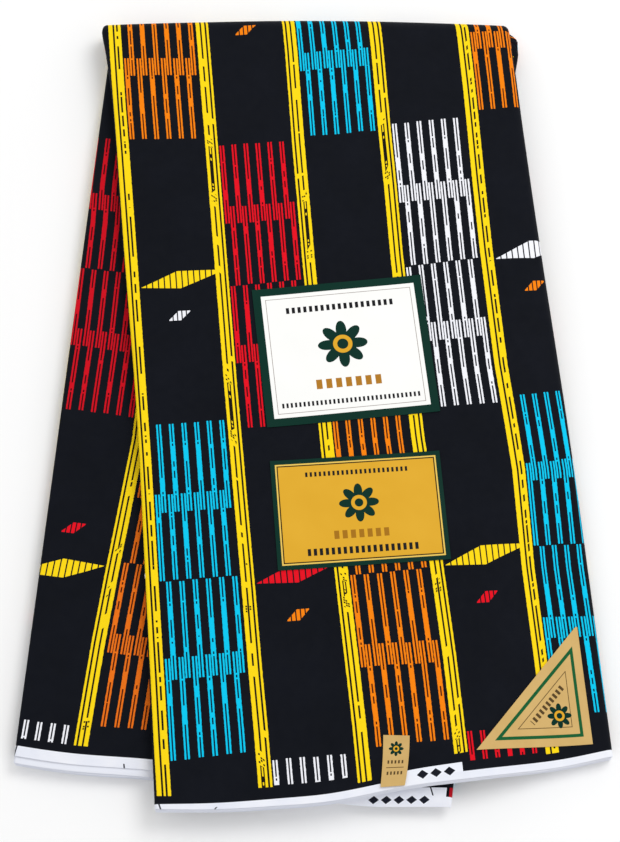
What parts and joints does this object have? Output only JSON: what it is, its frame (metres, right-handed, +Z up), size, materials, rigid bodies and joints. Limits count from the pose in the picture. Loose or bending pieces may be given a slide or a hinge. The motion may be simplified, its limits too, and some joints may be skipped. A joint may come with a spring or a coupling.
{
  "type": "folded wax print fabric",
  "caption": "Flat stack of folded wax print cloth, black ground with yellow stripes and bright fringed blocks, doubled over on the skew, with plain paper labels on its front.",
  "frame": {"origin": "on the surface the cloth lies on, under the middle of the box round the whole piece", "axes": "+Z up from the surface to the printed front face, +Y from the hems towards the half fold, +X across the plies towards the side that the front half leans to"},
  "size_m": [0.4038, 0.6092, 0.0263],
  "materials": {
    "wax_print": "calendered wax print cotton, faint sheen, black ground with yellow stripes and bright bars",
    "selvedge": "unprinted bluish white woven margin",
    "ply_edges": "folded ply edges of the same printed cotton, white where the selvedges end",
    "white_label": "coated white paper with a dark green border",
    "gold_label": "gold printed coated paper with a green border",
    "kraft_label": "uncoated tan paper with thin printed lines"
  },
  "bodies": {
    "root": {"plies": "ply_edges", "front_ply": "wax_print", "fold_ply": "wax_print", "under_ply": "wax_print", "back_ply": "wax_print", "front_selvedge": "selvedge", "back_selvedge": "selvedge", "label_white": "white_label", "label_gold": "gold_label", "label_hem": "kraft_label", "label_triangle": "kraft_label"}
  },
  "joints": []
}
